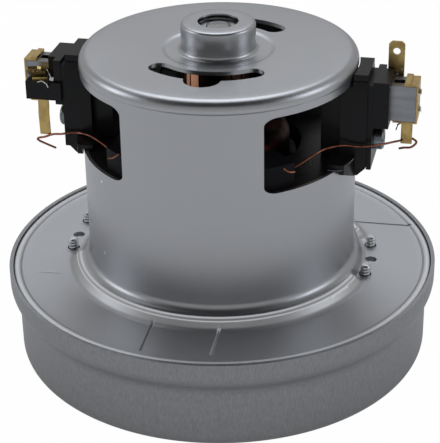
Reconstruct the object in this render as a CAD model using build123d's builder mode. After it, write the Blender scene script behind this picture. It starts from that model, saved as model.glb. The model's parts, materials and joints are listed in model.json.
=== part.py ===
from build123d import *
import os
from math import cos, degrees, radians, sin

# Suction motor of a canister vacuum cleaner. The shaft stands along +Z, the fan end is down,
# and the brushes lie along X. Lengths are in millimetres and angles in degrees.

# Fan cover, a pressed cup with a wider band at its top
cover_radius = 65.0
cover_low_radius = 62.6
cover_height = 29.3
cover_sheet = 0.9
cover_corner = 4.2
cover_step_low = 16.5
cover_step_high = 26.5
flange_gap = 0.4
inlet_radius = 18.5
inlet_lip_height = 3.4
inlet_lip_round = 1.8

# Motor can and its flange, one deep-drawn sheet
can_radius = 40.2
shoulder_radius = 40.5
shoulder_round = 2.8
shoulder_step_height = 92.6
seam_drop = 0.5
can_top = 96.0
can_sheet = 1.2
boss_radius = 10.8
boss_top = 104.0
boss_round = 1.0
boss_hole_radius = 5.9
boss_foot_round = 1.3
dish_radius = 16.6
dish_depth = 0.35
dish_slope = 1.2
flare_round = 4.0
ring_height = 31.2
ring_foot_radius = 45.6
plate_height = 28.4
flange_radius = cover_radius - cover_sheet - flange_gap
bead_run = 2.5
bead_start_radius = flange_radius - bead_run
bead_height = 0.5
bead_slope = 0.6
flange_round = 1.0
skirt_bottom = 25.6

# Openings in the can
window_low = 67.3
window_high = 90.0
window_corner = 2.2
window_bridge_angle = 60.0
slot_inner_radius = 19.8
slot_outer_radius = 24.9
slot_half_angle = 40.0
slot_notch_radius = 5.2
slot_notch_place = 24.9
slot_notch_angle = -88.0

# Screws that hold the fan-side bracket under the flange
bracket_radius = 52.0
bracket_screw_inset = 5.8
bracket_screw_place = bracket_radius - bracket_screw_inset
# Distance from the shaft and angle of each screw, and of the two open holes
bracket_screw_spots = (
    (bracket_screw_place - 1.0, -5.7),
    (bracket_screw_place, 17.2),
    (bracket_screw_place + 2.3, 164.7),
    (bracket_screw_place + 0.2, 186.2),
)
bracket_screw_radius = 1.45
bracket_screw_rise = 3.2
bracket_screw_chamfer = 0.4
bracket_screw_head_radius = 2.8
bracket_screw_head_height = 2.0
flange_holes = ((45.7, 5.8), (47.0, 176.1))
flange_hole_radius = 1.8

# Fan-side bracket with the lower bearing
bracket_sheet = 1.6
bracket_hub_wall = 1.8
bracket_hub_roof = 1.4
bracket_window_inner = 17.0
bracket_window_inset = 10.2
bracket_window_outer = bracket_screw_place - bracket_window_inset
bracket_window_place = 45.0
bracket_spoke_angle = 22.0
bracket_windows = 4

# Bearings: outer radius, bore radius and width
low_bearing = (11.0, 4.0, 7.0)
high_bearing = (9.5, 3.5, 6.0)
race_share = 0.32
shield_inset = 0.5
washer_thickness = 0.3
washer_inner_radius = 6.6

# Shaft
shaft_bottom = 4.4
shaft_thread_radius = 3.0
shaft_radius = 5.0
shaft_chamfer = 0.4
shaft_end_gap = 0.3
bearing_bottom = 25.0

# Fan
fan_wall_gap = 5.7
fan_radius = cover_low_radius - cover_sheet - fan_wall_gap
fan_sheet = 0.8
fan_eye_gap = 1.1
fan_floor_gap = 1.6
fan_blade_height = 8.0
fan_blades = 8
fan_blade_thickness = 1.0
fan_blade_inner = 23.0
fan_blade_inset = 1.0
fan_blade_outer = fan_radius - fan_blade_inset
fan_blade_sweep = 62.0
nut_flats = 10.0
nut_height = 5.0
fan_washer_radius = 9.0
fan_washer_height = 1.2
spacer_radius = 6.5

# Diffuser with its return vanes
diffuser_wall_gap = 3.3
diffuser_radius = cover_low_radius - cover_sheet - diffuser_wall_gap
diffuser_floor = 14.0
diffuser_thickness = 1.4
diffuser_bore = 8.0
vane_inner = 22.0
vane_inset = 0.4
vane_outer = diffuser_radius - vane_inset
vane_thickness = 1.2
vane_count = 9
vane_sweep = 68.0
vane_top_gap = 0.1
screw_head_gap = 0.4

# Stator
stator_low = 42.0
stator_high = 64.0
stator_gap = 0.15
stator_ring = 6.0
stator_bore = 23.2
pole_half_angle = 52.0
pole_width = 22.0
pole_shoe = 3.4
coil_reach = 8.0
coil_rise = 10.0
coil_outer_gap = 1.2
coil_inner_radius = 27.2
coil_half_angle = 46.0
coil_leg_half_angle = 7.0
insulator_thickness = 0.8
coil_frame_gap = 0.2
coil_frame_top = 67.2
coil_frame_inner = 24.0

# Armature
core_radius = 22.4
core_slots = 12
core_slot_depth = 9.0
core_slot_width = 4.2
core_slot_mouth = 1.6
core_slot_lip = 1.4
head_radius = 20.6
head_inner = 9.0
head_low_height = 7.2
head_high_height = 8.6
head_round = 3.0
commutator_radius = 12.0
commutator_riser = 13.6
commutator_bottom = 75.6
commutator_riser_height = 2.2
commutator_top = 92.4
commutator_hub_radius = 8.6
commutator_bars = 24
commutator_cut = 0.5
commutator_cut_depth = 1.1

# Brush gear, for the side at +X
tube_width = 7.6
tube_height = 10.8
tube_wall = 0.6
tube_inner_end = 16.5
tube_outer_end = 57.6
tube_middle = 84.0
tube_slot_start = 50.9
tube_slot_end = 54.0
tube_slot_width = 2.6
brush_clearance = 0.1
brush_length = 27.0
brush_gap = 0.1
spring_radius = 2.4
spring_wire = 0.35
end_wall = 0.5

# Brush holder
core_inner = 31.0
core_half_width = 5.6
saddle_inner = 36.8
saddle_outer = 44.4
holder_face = 45.8
holder_half_width = 8.0
holder_can_gap = 0.3
holder_window_gap = 0.3
holder_foot = 62.6
holder_foot_slope = 2.4
holder_plate_half_width = 7.0
holder_plate_foot = 64.2
holder_plate_top = 90.2
saddle_shoulder = 88.1
cap_foot = 91.2
cap_foot_half_width = 7.2
cap_top = 93.2
cap_half_width = 6.8
collar_outer = 50.4
collar_back = 48.0
collar_half_width = 7.2
collar_top = 91.3
collar_drop = 1.2
arm_outer = 56.6
arm_inner_y = 4.3
arm_outer_y = 8.2
arm_low = 79.0
arm_high = 84.6
apron_outer_radius = 42.2
apron_half_width = 15.5
apron_foot_half_width = 8.5
apron_step = 66.0
apron_top = 68.9
tongue_inner = 34.5

# Terminal, lead clip, end clip and screw of each holder
blade_width = 4.6
blade_thickness = 0.8
blade_middle = 50.75
blade_top = 99.2
blade_hole_radius = 1.05
blade_hole_drop = 3.0
blade_chamfer = 0.9
blade_y = 5.6
left_blade_middle = 52.5
left_blade_y = 6.4
left_blade_foot_height = 1.1
left_blade_length = 9.4
left_blade_tilt = 52.0
left_blade_turn = 12.0
left_blade_lean = 6.0
clip_half_width = 3.8
clip_thickness = 0.5
clip_start = 54.2
clip_hem = 1.8
clip_heel = 51.2
lead_clip_middle_right = 54.4
lead_clip_middle_left = 52.0
lead_clip_width = 3.3
lead_clip_foot_width = 5.4
lead_clip_foot_height = 1.0
lead_clip_bottom = 67.2
lead_clip_y = 6.2
lead_clip_bend = 2.6
lead_clip_offset = 0.4
holder_screw_height = 71.2
holder_screw_head_radius = 3.2
holder_screw_head_height = 2.9
holder_screw_radius = 1.9
holder_screw_length = 9.0
holder_screw_slot = 0.9
holder_screw_slot_depth = 1.1

# Field leads: enamelled wires from the coils to the lead clips, given by the corners of their route
wire_radius = 0.5
right_route = [
    (22.3, -20.2, 68.6),
    (27.6, -20.0, 70.6),
    (33.6, -13.8, 72.9),
    (43.8, -9.5, 72.8),
    (50.0, -5.6, 72.2),
    (55.2, 5.1, 69.0),
]
right_rounds = [3.0, 6.0, 8.0, 6.0]
left_route = [
    (-22.3, -20.2, 70.4),
    (-28.6, -20.0, 71.2),
    (-36.0, -12.6, 71.0),
    (-43.4, -9.8, 69.8),
    (-48.6, -8.6, 68.6),
    (-52.0, -7.3, 68.2),
]
left_rounds = [4.0, 6.0, 8.0, 6.0]

# One overrun for every cut
cut_over = 1.0

can_inner_radius = can_radius - can_sheet
plate_under = plate_height - can_sheet
bracket_floor = plate_under - bracket_sheet


def ring(outer, inner, low, high):
    """A plain ring around the shaft axis between two heights."""
    with BuildPart() as piece:
        with BuildSketch(Plane.XY.offset(low)):
            Circle(outer)
            if inner > 0:
                Circle(inner, mode=Mode.SUBTRACT)
        extrude(amount=high - low)
    return piece.part


def sector(inner, outer, middle, half):
    """The flat sector of a ring between two circles, around one direction."""
    with BuildSketch() as piece:
        with BuildLine():
            near = CenterArc((0, 0), inner, middle - half, 2 * half)
            far = CenterArc((0, 0), outer, middle - half, 2 * half)
            Line(near @ 0, far @ 0)
            Line(near @ 1, far @ 1)
        make_face()
    return piece.sketch


def save(solid, label):
    """Labels one finished piece and writes it."""
    solid.label = label
    export_step(solid, f"parts/{label}.step")


def both_sides(solid, label):
    """Writes the piece of the +X side and its twin, turned half round the shaft."""
    save(solid, f"{label}_right")
    save(solid.rotate(Axis.Z, 180), f"{label}_left")


os.makedirs("parts", exist_ok=True)

# Fan cover
step_middle = ((cover_low_radius + cover_radius) / 2, (cover_step_low + cover_step_high) / 2)
with BuildPart() as fan_cover:
    with BuildSketch(Plane.XZ):
        with BuildLine():
            lip = Line((inlet_radius, inlet_lip_height), (inlet_radius, inlet_lip_round))
            mouth = TangentArc(lip @ 1, (inlet_radius + inlet_lip_round, 0), tangent=(0, -1))
            floor_line = Line(mouth @ 1, (cover_low_radius - cover_corner, 0))
            corner = TangentArc(floor_line @ 1, (cover_low_radius, cover_corner), tangent=(1, 0))
            wall = Line(corner @ 1, (cover_low_radius, cover_step_low))
            step_out = TangentArc(wall @ 1, step_middle, tangent=(0, 1))
            step_up = TangentArc(step_out @ 1, (cover_radius, cover_step_high), tangent=step_out % 1)
            band = Line(step_up @ 1, (cover_radius, cover_height))
            offset(amount=cover_sheet, side=Side.LEFT)
        make_face()
    revolve(axis=Axis.Z)
save(fan_cover.part, "fan_cover")

# Motor can: boss, dished roof, shoulder, wall, flare and flange drawn from one sheet
shoulder_start = shoulder_radius - shoulder_round
flare_top = ring_height + flare_round
with BuildPart() as motor_can:
    with BuildSketch(Plane.XZ):
        with BuildLine():
            rim = Line((boss_hole_radius, boss_top), (boss_radius - boss_round, boss_top))
            boss_edge = TangentArc(rim @ 1, (boss_radius, boss_top - boss_round), tangent=(1, 0))
            dish_floor = can_top - dish_depth
            boss_wall = Line(boss_edge @ 1, (boss_radius, dish_floor + boss_foot_round))
            boss_foot = TangentArc(
                boss_wall @ 1, (boss_radius + boss_foot_round, dish_floor), tangent=(0, -1)
            )
            dish = Line(boss_foot @ 1, (dish_radius, dish_floor))
            dish_edge = Line(dish @ 1, (dish_radius + dish_slope, can_top))
            roof = Line(dish_edge @ 1, (shoulder_start, can_top))
            shoulder = TangentArc(
                roof @ 1, (shoulder_radius, can_top - shoulder_round), tangent=(1, 0)
            )
            band = Line(shoulder @ 1, (shoulder_radius, shoulder_step_height))
            seam = Line(band @ 1, (can_radius, shoulder_step_height - seam_drop))
            wall = Line(seam @ 1, (can_radius, flare_top))
            flare = TangentArc(wall @ 1, (can_radius + flare_round, ring_height), tangent=(0, -1))
            ring_slope = Line(flare @ 1, (ring_foot_radius, plate_height))
            plate = Line(ring_slope @ 1, (bead_start_radius, plate_height))
            bead = Line(plate @ 1, (bead_start_radius + bead_slope, plate_height + bead_height))
            bead_roof = Line(
                bead @ 1, (flange_radius - flange_round, plate_height + bead_height)
            )
            flange_edge = TangentArc(
                bead_roof @ 1,
                (flange_radius, plate_height + bead_height - flange_round),
                tangent=(1, 0),
            )
            Line(flange_edge @ 1, (flange_radius, skirt_bottom))
            offset(amount=can_sheet, side=Side.RIGHT)
        make_face()
    revolve(axis=Axis.Z)
    # Two windows, pierced straight through along the brush axis
    window_half_width = can_radius * cos(radians(window_bridge_angle / 2))
    with BuildSketch(Plane.YZ):
        with Locations((0, (window_low + window_high) / 2)):
            RectangleRounded(2 * window_half_width, window_high - window_low, window_corner)
    extrude(amount=shoulder_radius + cut_over, both=True, mode=Mode.SUBTRACT)
    # Kidney slots beside the boss, each with a round notch
    with BuildSketch(Plane.XY.offset(can_top + cut_over)):
        slot_middle = (slot_inner_radius + slot_outer_radius) / 2
        for turn in (0, 180):
            slot_start = turn + slot_notch_angle - slot_half_angle
            slot_arc = CenterArc((0, 0), slot_middle, slot_start, 2 * slot_half_angle, mode=Mode.PRIVATE)
            SlotArc(slot_arc, slot_outer_radius - slot_inner_radius)
            with PolarLocations(slot_notch_place, 1, turn + slot_notch_angle):
                Circle(slot_notch_radius)
    extrude(amount=-(can_sheet + dish_depth + 2 * cut_over), mode=Mode.SUBTRACT)
    # Holes for the bracket screws and the open hole between each pair
    with BuildSketch(Plane.XY.offset(plate_under - cut_over)):
        for distance, angle in bracket_screw_spots:
            with PolarLocations(distance, 1, angle):
                Circle(bracket_screw_radius)
        for distance, angle in flange_holes:
            with PolarLocations(distance, 1, angle):
                Circle(flange_hole_radius)
    extrude(amount=ring_height - plate_under + 2 * cut_over, mode=Mode.SUBTRACT)
save(motor_can.part, "motor_can")

# Fan-side bracket: a disc with four air windows and a bearing cup in its middle
cup_outer = low_bearing[0] + bracket_hub_wall
cup_roof = bearing_bottom + low_bearing[2]
with BuildPart() as end_bracket:
    with BuildSketch(Plane.XZ):
        with BuildLine():
            Polyline(
                (low_bearing[0], bracket_floor),
                (bracket_radius, bracket_floor),
                (bracket_radius, plate_under),
                (cup_outer, plate_under),
                (cup_outer, cup_roof + bracket_hub_roof),
                (shaft_radius + bracket_hub_wall, cup_roof + bracket_hub_roof),
                (shaft_radius + bracket_hub_wall, cup_roof),
                (low_bearing[0], cup_roof),
                close=True,
            )
        make_face()
    revolve(axis=Axis.Z)
    with BuildSketch(Plane.XY.offset(bracket_floor - cut_over)):
        window_half = (360 / bracket_windows - bracket_spoke_angle) / 2
        for index in range(bracket_windows):
            middle = bracket_window_place + index * 360 / bracket_windows
            add(sector(bracket_window_inner, bracket_window_outer, middle, window_half))
    extrude(amount=bracket_sheet + 2 * cut_over, mode=Mode.SUBTRACT)
    with BuildSketch(Plane.XY.offset(bracket_floor - cut_over)):
        for distance, angle in bracket_screw_spots:
            with PolarLocations(distance, 1, angle):
                Circle(bracket_screw_radius)
    extrude(amount=bracket_sheet + 2 * cut_over, mode=Mode.SUBTRACT)
save(end_bracket.part, "end_bracket")

# Bracket screws, driven from below so that their ends stand up beside the can
for index, (distance, angle) in enumerate(bracket_screw_spots):
    with BuildPart() as screw:
        with BuildSketch(Plane.XY.offset(bracket_floor)):
            with PolarLocations(distance, 1, angle):
                Circle(bracket_screw_radius)
        extrude(amount=plate_height + bracket_screw_rise - bracket_floor)
        with BuildSketch(Plane.XY.offset(bracket_floor)):
            with PolarLocations(distance, 1, angle):
                Circle(bracket_screw_head_radius)
        extrude(amount=-bracket_screw_head_height)
        tip = screw.faces().sort_by(Axis.Z)[-1]
        chamfer(tip.edges(), bracket_screw_chamfer)
    save(screw.part, f"bracket_screw_{index + 1}")

# Bearings: outer and inner race with the shield between them, and the wave washer above
for place, sizes, low in (
    ("lower", low_bearing, bearing_bottom),
    ("upper", high_bearing, boss_top - can_sheet - washer_thickness - high_bearing[2]),
):
    outer, bore, width = sizes
    span = outer - bore
    shield = bore + race_share * span
    with BuildPart() as outer_race:
        add(ring(outer, outer - race_share * span, low, low + width))
        add(ring(outer - race_share * span, shield, low + shield_inset, low + width - shield_inset))
    save(outer_race.part, f"{place}_bearing_outer")
    save(ring(shield - stator_gap, bore, low, low + width), f"{place}_bearing_inner")
washer_low = boss_top - can_sheet - washer_thickness
save(
    ring(
        high_bearing[0] - washer_thickness, washer_inner_radius,
        washer_low, washer_low + washer_thickness,
    ),
    "wave_washer",
)

# Shaft, stepped for the two bearings and threaded for the fan nut
fan_bottom = cover_sheet + fan_floor_gap
fan_back = fan_bottom + fan_sheet + fan_blade_height
spacer_low = fan_back + fan_sheet
upper_bearing_low = washer_low - high_bearing[2]
with BuildPart() as shaft:
    with BuildSketch(Plane.XZ):
        with BuildLine():
            Polyline(
                (0, shaft_bottom),
                (shaft_thread_radius, shaft_bottom),
                (shaft_thread_radius, spacer_low),
                (low_bearing[1], spacer_low),
                (low_bearing[1], cup_roof),
                (shaft_radius, cup_roof),
                (shaft_radius, upper_bearing_low),
                (high_bearing[1], upper_bearing_low),
                (high_bearing[1], boss_top - can_sheet - shaft_end_gap),
                (0, boss_top - can_sheet - shaft_end_gap),
                close=True,
            )
        make_face()
    revolve(axis=Axis.Z)
    ends = shaft.faces().filter_by(GeomType.PLANE).sort_by(Axis.Z)
    chamfer(ends[0].edges() + ends[-1].edges(), shaft_chamfer)
save(shaft.part, "shaft")

# Fan: front plate with the eye, swept blades, back plate, washer, nut and spacer
eye_radius = inlet_radius + cover_sheet + fan_eye_gap
save(ring(fan_radius, eye_radius, fan_bottom, fan_bottom + fan_sheet), "fan_front_plate")
save(ring(fan_radius, shaft_thread_radius, fan_back, fan_back + fan_sheet), "fan_back_plate")


def swept_blade(inner, outer, sweep, thickness, low, height, count):
    """A set of blades that curve back from an inner to an outer circle."""
    start = Vector(inner, 0)
    end = Vector(outer * cos(radians(sweep)), outer * sin(radians(sweep)))
    with BuildPart() as blades:
        with BuildSketch(Plane.XY.offset(low)):
            with BuildLine() as middle:
                TangentArc(start, end, tangent=(end - start).rotate(Axis.Z, -sweep / 2))
            trace(middle.line, thickness)
        extrude(amount=height)
    turns = [blades.part.rotate(Axis.Z, index * 360 / count) for index in range(count)]
    return Compound(children=turns)


save(
    swept_blade(
        fan_blade_inner, fan_blade_outer, -fan_blade_sweep, fan_blade_thickness,
        fan_bottom + fan_sheet, fan_blade_height, fan_blades,
    ),
    "fan_blades",
)
washer_bottom = fan_back - fan_washer_height
save(ring(fan_washer_radius, shaft_thread_radius, washer_bottom, fan_back), "fan_washer")
with BuildPart() as lock_nut:
    with BuildSketch(Plane.XY.offset(washer_bottom)):
        RegularPolygon(nut_flats / 2, 6, major_radius=False)
        Circle(shaft_thread_radius, mode=Mode.SUBTRACT)
    extrude(amount=-min(nut_height, washer_bottom - shaft_bottom - shaft_chamfer))
save(lock_nut.part, "lock_nut")
save(ring(spacer_radius, low_bearing[1], spacer_low, bearing_bottom), "fan_spacer")

# Diffuser: a disc with curved vanes that lead the air back to the middle
vane_low = diffuser_floor + diffuser_thickness
with BuildPart() as diffuser:
    add(ring(diffuser_radius, diffuser_bore, diffuser_floor, vane_low))
    add(
        swept_blade(
            vane_inner, vane_outer, vane_sweep, vane_thickness,
            vane_low, bracket_floor - vane_top_gap - vane_low, vane_count,
        )
    )
    # Room for the heads of the bracket screws
    with BuildSketch(Plane.XY.offset(bracket_floor)):
        for distance, angle in bracket_screw_spots:
            with PolarLocations(distance, 1, angle):
                Circle(bracket_screw_head_radius + screw_head_gap)
    extrude(amount=-(bracket_screw_head_height + screw_head_gap), mode=Mode.SUBTRACT)
save(diffuser.part, "diffuser")

# Stator pack with two poles on the Y axis
stator_radius = can_inner_radius - stator_gap
with BuildPart() as stator_core:
    with BuildSketch(Plane.XY.offset(stator_low)):
        Circle(stator_radius)
        Circle(stator_radius - stator_ring, mode=Mode.SUBTRACT)
        Rectangle(pole_width, 2 * (stator_radius - stator_ring / 2))
        for turn in (90, 270):
            add(sector(stator_bore, stator_bore + pole_shoe, turn, pole_half_angle))
        Circle(stator_bore, mode=Mode.SUBTRACT)
    extrude(amount=stator_high - stator_low)
save(stator_core.part, "stator_core")

# Field coils: the wrapped heads that stand out of the stator around each pole
coil_outer = stator_radius - coil_outer_gap
leg_inner = stator_bore + pole_shoe + insulator_thickness
leg_outer = stator_radius - stator_ring - insulator_thickness
for name, turn in (("front", 270), ("back", 90)):
    with BuildPart() as coil:
        for low, rise in ((stator_high, coil_rise), (stator_low, -coil_reach)):
            with BuildSketch(Plane.XY.offset(low)):
                add(sector(coil_inner_radius, coil_outer, turn, coil_half_angle))
            extrude(amount=rise)
        with BuildSketch(Plane.XY.offset(stator_low)):
            for side in (-1, 1):
                leg_turn = turn + side * (coil_half_angle - coil_leg_half_angle)
                add(sector(leg_inner, leg_outer, leg_turn, coil_leg_half_angle))
        extrude(amount=stator_high - stator_low)
    save(coil.part, f"field_coil_{name}")

# Coil frame: a moulded ring on the stator that lines the can below its windows
with BuildPart() as coil_frame:
    with BuildSketch(Plane.XY.offset(stator_high)):
        Circle(stator_radius)
        Circle(coil_frame_inner, mode=Mode.SUBTRACT)
        for turn in (90, 270):
            gap_angle = degrees(coil_frame_gap / coil_inner_radius)
            add(
                sector(
                    coil_frame_inner - cut_over, coil_outer + coil_frame_gap,
                    turn, coil_half_angle + gap_angle,
                ),
                mode=Mode.SUBTRACT,
            )
    extrude(amount=coil_frame_top - stator_high)
save(coil_frame.part, "coil_frame")

# Armature core with its slots, winding heads and commutator
with BuildPart() as armature_core:
    with BuildSketch(Plane.XY.offset(stator_low)):
        Circle(core_radius)
        Circle(shaft_radius, mode=Mode.SUBTRACT)
        with PolarLocations(core_radius - core_slot_lip - core_slot_depth / 2, core_slots):
            Rectangle(core_slot_depth, core_slot_width, mode=Mode.SUBTRACT)
        with PolarLocations(core_radius, core_slots):
            Rectangle(2 * (core_slot_lip + cut_over), core_slot_mouth, mode=Mode.SUBTRACT)
    extrude(amount=stator_high - stator_low)
save(armature_core.part, "armature_core")

with BuildPart() as armature_winding:
    for low, rise in ((stator_high, head_high_height), (stator_low, -head_low_height)):
        with BuildSketch(Plane.XY.offset(low)):
            Circle(head_radius)
            Circle(head_inner, mode=Mode.SUBTRACT)
        extrude(amount=rise)
    rims = armature_winding.faces().filter_by(GeomType.PLANE).sort_by(Axis.Z)
    outer_rims = [face.edges().sort_by(SortBy.LENGTH)[-1] for face in (rims[0], rims[-1])]
    fillet(outer_rims, head_round)
save(armature_winding.part, "armature_winding")

commutator_foot = commutator_bottom + commutator_riser_height
with BuildPart() as commutator:
    add(ring(commutator_riser, commutator_hub_radius, commutator_bottom, commutator_foot))
    add(ring(commutator_radius, commutator_hub_radius, commutator_foot, commutator_top))
    with BuildSketch(Plane.XY.offset(commutator_bottom)):
        with PolarLocations(commutator_riser, commutator_bars):
            cut_depth = commutator_riser - commutator_radius + commutator_cut_depth
            Rectangle(2 * cut_depth, commutator_cut)
    extrude(amount=commutator_top - commutator_bottom, mode=Mode.SUBTRACT)
save(commutator.part, "commutator_bars")
hub_low = stator_high + head_high_height + brush_clearance
with BuildPart() as commutator_hub:
    add(ring(commutator_hub_radius, shaft_radius, hub_low, commutator_top + shaft_chamfer))
save(commutator_hub.part, "commutator_hub")

# Brush tube: a folded steel channel with a slot in its roof near the outer end
tube_low = tube_middle - tube_height / 2
tube_high = tube_middle + tube_height / 2
with BuildPart() as brush_tube:
    with BuildSketch(Plane.YZ.offset(tube_inner_end)):
        with Locations((0, tube_middle)):
            Rectangle(tube_width, tube_height)
            Rectangle(tube_width - 2 * tube_wall, tube_height - 2 * tube_wall, mode=Mode.SUBTRACT)
    extrude(amount=tube_outer_end - tube_inner_end)
    with BuildSketch(Plane.XY.offset(tube_high - tube_wall / 2)):
        with Locations(((tube_slot_start + tube_slot_end) / 2, 0)):
            Rectangle(tube_slot_end - tube_slot_start, tube_slot_width)
    extrude(amount=tube_wall, both=True, mode=Mode.SUBTRACT)
both_sides(brush_tube.part, "brush_tube")

# Carbon brush, with the face that runs on the commutator
brush_width = tube_width - 2 * tube_wall - 2 * brush_clearance
brush_height = tube_height - 2 * tube_wall - 2 * brush_clearance
brush_face = commutator_radius + brush_gap
brush_back = brush_face + brush_length
with BuildPart() as carbon_brush:
    with BuildSketch(Plane.YZ.offset(brush_back)):
        with Locations((0, tube_middle)):
            Rectangle(brush_width, brush_height)
    extrude(amount=-brush_back)
    with BuildSketch(Plane.XY.offset(tube_low)):
        Circle(brush_face)
    extrude(amount=tube_height, mode=Mode.SUBTRACT)
both_sides(carbon_brush.part, "carbon_brush")

# Brush spring, from the back of the brush to the end clip
end_inner = tube_outer_end - end_wall
with BuildPart() as brush_spring:
    with BuildSketch(Plane.YZ.offset(brush_back)):
        with Locations((0, tube_middle)):
            Circle(spring_radius)
            Circle(spring_radius - 2 * spring_wire, mode=Mode.SUBTRACT)
    extrude(amount=end_inner - brush_back)
both_sides(brush_spring.part, "brush_spring")

# End clip: a brass strip as wide as the tube, folded round its outer end
with BuildPart() as end_clip:
    with BuildSketch(Plane.XZ):
        with BuildLine():
            clip_face = tube_outer_end + clip_thickness
            Polyline(
                (clip_start, tube_high + clip_thickness),
                (clip_face, tube_high + clip_thickness),
                (clip_face, tube_low - clip_thickness),
                (clip_heel, tube_low - clip_thickness),
            )
            offset(amount=clip_thickness, side=Side.RIGHT, kind=Kind.INTERSECTION)
        make_face()
        # Hem folded back over the roof
        hem_middle = tube_high + clip_thickness + clip_thickness / 2
        with Locations((clip_start + clip_hem / 2, hem_middle)):
            Rectangle(clip_hem, clip_thickness)
    extrude(amount=clip_half_width, both=True)
both_sides(end_clip.part, "end_clip")

# Brush holder: core in the window, saddle and cap outside it, apron along the can,
# collar around the tube, and a side arm
saddle_low = window_low + holder_window_gap
saddle_high = window_high - holder_window_gap
saddle_inner_radius = shoulder_radius + holder_can_gap
with BuildPart() as apron:
    with BuildSketch(Plane.YZ.offset(tongue_inner)):
        with BuildLine():
            Polyline(
                (-apron_foot_half_width, holder_foot),
                (apron_foot_half_width, holder_foot),
                (apron_half_width, apron_step),
                (apron_half_width, apron_top),
                (-apron_half_width, apron_top),
                (-apron_half_width, apron_step),
                close=True,
            )
        make_face()
    extrude(amount=apron_outer_radius - tongue_inner)
    with BuildSketch(Plane.XY.offset(holder_foot - cut_over)):
        Circle(apron_outer_radius + apron_half_width)
        Circle(apron_outer_radius, mode=Mode.SUBTRACT)
    extrude(amount=apron_top - holder_foot + 2 * cut_over, mode=Mode.SUBTRACT)
    with BuildSketch(Plane.XY.offset(saddle_low)):
        Circle(saddle_inner_radius)
    extrude(amount=-(saddle_low - holder_foot + cut_over), mode=Mode.SUBTRACT)
with BuildPart() as brush_holder:
    # Core that passes through the window
    with BuildSketch(Plane.XY.offset(saddle_low)):
        with Locations(((core_inner + saddle_outer) / 2, 0)):
            Rectangle(saddle_outer - core_inner, 2 * core_half_width)
    extrude(amount=saddle_high - saddle_low)
    # Saddle with its stepped cap
    with BuildSketch(Plane.YZ.offset(saddle_outer)):
        with BuildLine():
            Polyline(
                (-holder_half_width, holder_foot),
                (holder_half_width, holder_foot),
                (holder_half_width, saddle_shoulder),
                (cap_foot_half_width, cap_foot),
                (cap_half_width, cap_foot),
                (cap_half_width, cap_top),
                (-cap_half_width, cap_top),
                (-cap_half_width, cap_foot),
                (-cap_foot_half_width, cap_foot),
                (-holder_half_width, saddle_shoulder),
                close=True,
            )
        make_face()
    extrude(amount=-(saddle_outer - saddle_inner))
    foot_edges = brush_holder.edges().filter_by(Axis.Y).group_by(Axis.Z)[0]
    chamfer(foot_edges.sort_by(Axis.X)[-1], holder_foot_slope)
    # The can's curve, above the window and below it
    with BuildSketch(Plane.XY.offset(saddle_high)):
        Circle(saddle_inner_radius)
    extrude(amount=cap_top - saddle_high + cut_over, mode=Mode.SUBTRACT)
    with BuildSketch(Plane.XY.offset(saddle_low)):
        Circle(saddle_inner_radius)
    extrude(amount=-(saddle_low - holder_foot + cut_over), mode=Mode.SUBTRACT)
    add(apron.part)
    # Outer plate
    with BuildSketch(Plane.YZ.offset(saddle_outer)):
        with Locations((0, (holder_plate_foot + holder_plate_top) / 2)):
            Rectangle(2 * holder_plate_half_width, holder_plate_top - holder_plate_foot)
    extrude(amount=holder_face - saddle_outer)
    # Collar around the tube, cut short where the terminal stands
    with BuildSketch(Plane.XY.offset(tube_low - collar_drop)):
        with Locations(((holder_face + collar_back) / 2, 0)):
            Rectangle(collar_back - holder_face, 2 * collar_half_width)
        with Locations(((collar_back + collar_outer) / 2, (arm_inner_y - collar_half_width) / 2)):
            Rectangle(collar_outer - collar_back, arm_inner_y + collar_half_width)
    extrude(amount=collar_top - tube_low + collar_drop)
    # Side arm that carries the terminal
    with BuildSketch(Plane.XY.offset(arm_low)):
        with Locations(((holder_face + arm_outer) / 2, (arm_inner_y + arm_outer_y) / 2)):
            Rectangle(arm_outer - holder_face, arm_outer_y - arm_inner_y)
    extrude(amount=arm_high - arm_low)
    # Passage for the tube, and the bore of the fixing screw
    with BuildSketch(Plane.YZ.offset(core_inner - cut_over)):
        with Locations((0, tube_middle)):
            Rectangle(tube_width, tube_height)
    extrude(amount=arm_outer - core_inner, mode=Mode.SUBTRACT)
    with BuildSketch(Plane.YZ.offset(holder_face)):
        with Locations((0, holder_screw_height)):
            Circle(holder_screw_radius)
    extrude(amount=-holder_screw_length, mode=Mode.SUBTRACT)
both_sides(brush_holder.part, "brush_holder")

# Holder screw: pan head with a cross recess
with BuildPart() as holder_screw:
    with BuildSketch(Plane.YZ.offset(holder_face)):
        with Locations((0, holder_screw_height)):
            Circle(holder_screw_radius)
    extrude(amount=-holder_screw_length)
    with BuildSketch(Plane.YZ.offset(holder_face)):
        with Locations((0, holder_screw_height)):
            Circle(holder_screw_head_radius)
    extrude(amount=holder_screw_head_height)
    head = holder_screw.faces().sort_by(Axis.X)[-1]
    fillet(head.edges(), holder_screw_slot)
    with BuildSketch(Plane.YZ.offset(holder_face + holder_screw_head_height)):
        with Locations((0, holder_screw_height)):
            Rectangle(holder_screw_head_radius, holder_screw_slot)
            Rectangle(holder_screw_slot, holder_screw_head_radius)
    extrude(amount=-holder_screw_slot_depth, mode=Mode.SUBTRACT)
both_sides(holder_screw.part, "holder_screw")

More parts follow.
